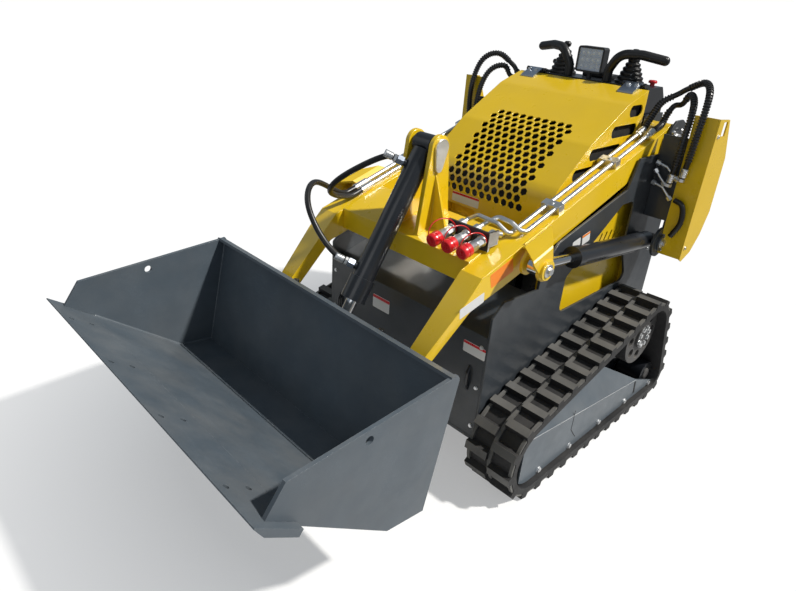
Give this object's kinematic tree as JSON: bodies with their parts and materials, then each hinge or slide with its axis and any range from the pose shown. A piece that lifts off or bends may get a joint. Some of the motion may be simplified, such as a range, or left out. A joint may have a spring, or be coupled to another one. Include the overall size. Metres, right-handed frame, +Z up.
{
  "type": "mini_skid_steer_loader",
  "caption": "Stand-on mini skid steer loader on rubber tracks: yellow arms and hood, black frame, slate grey bucket with bolt-on cutting edge, hydraulic lift and tilt.",
  "frame": {"origin": "on the ground, at the bottom centre of the whole machine's box", "axes": "bucket faces -Y, +X is the operator's left-hand side, +Z up"},
  "size_m": [1.06, 2.1574, 1.241],
  "materials": {
    "body_yellow": "gloss yellow paint",
    "bucket_grey": "satin slate grey paint",
    "cap_red": "gloss red",
    "frame_black": "satin black paint",
    "hose_rubber": "braided hose cover",
    "lamp_body": "cast, black coated",
    "lamp_glass": "clear",
    "rod_chrome": "polished",
    "rubber_black": "matt moulded rubber",
    "wheel_black": "matt paint",
    "zinc_steel": "zinc plated"
  },
  "bodies": {
    "machine": {"belly_pan": "frame_black", "bulkhead": "frame_black", "console": "frame_black", "engine_block": "frame_black", "engine_panels": "body_yellow", "fender_left": "body_yellow", "fender_right": "body_yellow", "front_plate": "frame_black", "handlebar": "frame_black", "hinge_pins": "frame_black", "idler_left": "wheel_black", "idler_right": "wheel_black", "joysticks": "rubber_black", "lamp_lens": "lamp_glass", "platform_brackets": "frame_black", "rear_panel": "frame_black", "rollers_left": "wheel_black", "rollers_right": "wheel_black", "side_plate_left": "frame_black", "side_plate_right": "frame_black", "sprocket_left": "wheel_black", "sprocket_right": "wheel_black", "thigh_pad": "rubber_black", "tower_hoses": "hose_rubber", "tower_left": "frame_black", "tower_right": "frame_black", "track_cover_left": "bucket_grey", "track_cover_right": "bucket_grey", "track_frame_left": "frame_black", "track_frame_right": "frame_black", "track_left": "rubber_black", "track_right": "rubber_black", "work_lamp": "lamp_body"},
    "lift_arms": {"lift_arm_left": "body_yellow", "lift_arm_right": "body_yellow", "cross_member": "body_yellow", "tilt_pin": "zinc_steel", "coupler_bracket": "zinc_steel", "quick_couplers": "cap_red", "aux_pipes": "zinc_steel", "arm_hoses": "hose_rubber", "tilt_pipes": "zinc_steel"},
    "lift_barrel_left": {"lift_barrel_left": "frame_black"},
    "lift_barrel_right": {"lift_barrel_right": "frame_black"},
    "lift_rod_left": {"lift_rod_left": "rod_chrome"},
    "lift_rod_right": {"lift_rod_right": "rod_chrome"},
    "tilt_barrel": {"tilt_barrel": "frame_black", "tilt_hoses": "hose_rubber"},
    "tilt_rod": {"tilt_rod": "rod_chrome"},
    "bucket": {"bucket": "bucket_grey", "cutting_edge": "bucket_grey", "mount_plate": "bucket_grey", "attachment_plate": "frame_black", "lock_levers": "frame_black"},
    "hood": {"hood": "body_yellow", "hood_hinges": "frame_black"},
    "platform": {"platform": "frame_black"}
  },
  "joints": [
    {"name": "arm_lift", "type": "hinge", "parent": "machine", "child": "lift_arms", "pos_m": [0, 0.71, 0.974], "axis": [-1, 0, 0], "range_deg": [-6.5, 60]},
    {"name": "lift_barrel_left_pivot", "type": "hinge", "parent": "machine", "child": "lift_barrel_left", "pos_m": [0.3935, 0.618, 0.64], "axis": [-1, 0, 0], "range_deg": [-5.89, 54.16]},
    {"name": "lift_rod_left_slide", "type": "slide", "parent": "lift_barrel_left", "child": "lift_rod_left", "axis": [0, -0.9938, 0.1112], "range_m": [-0.0374, 0.3412]},
    {"name": "lift_barrel_right_pivot", "type": "hinge", "parent": "machine", "child": "lift_barrel_right", "pos_m": [-0.3935, 0.618, 0.64], "axis": [-1, 0, 0], "range_deg": [-5.89, 54.16]},
    {"name": "lift_rod_right_slide", "type": "slide", "parent": "lift_barrel_right", "child": "lift_rod_right", "axis": [0, -0.9938, 0.1112], "range_m": [-0.0374, 0.3412]},
    {"name": "bucket_tilt", "type": "hinge", "parent": "lift_arms", "child": "bucket", "pos_m": [0, -0.506, 0.285], "axis": [1, 0, 0], "range_deg": [-4, 80]},
    {"name": "tilt_barrel_pivot", "type": "hinge", "parent": "lift_arms", "child": "tilt_barrel", "pos_m": [0, -0.151, 0.978], "axis": [1, 0, 0], "range_deg": [-11.84, 0.61]},
    {"name": "tilt_rod_slide", "type": "slide", "parent": "tilt_barrel", "child": "tilt_rod", "axis": [0, -0.5277, -0.8494], "range_m": [-0.011, 0.2111]},
    {"name": "hood_hinge", "type": "hinge", "parent": "machine", "child": "hood", "pos_m": [0, 0.652, 1.134], "axis": [-1, 0, 0], "range_deg": [0, 55]},
    {"name": "platform_fold", "type": "hinge", "parent": "machine", "child": "platform", "pos_m": [0, 0.828, 0.206], "axis": [1, 0, 0], "range_deg": [0, 88]}
  ],
  "couplings": [
    {"joint": "lift_barrel_left_pivot", "follows": "arm_lift", "ratio": 0.90238},
    {"joint": "lift_rod_left_slide", "follows": "arm_lift", "m_per_rad": 0.32537},
    {"joint": "lift_barrel_right_pivot", "follows": "arm_lift", "ratio": 0.90238},
    {"joint": "lift_rod_right_slide", "follows": "arm_lift", "m_per_rad": 0.32537},
    {"joint": "tilt_barrel_pivot", "follows": "bucket_tilt", "ratio": -0.1478},
    {"joint": "tilt_rod_slide", "follows": "bucket_tilt", "m_per_rad": 0.15086}
  ]
}
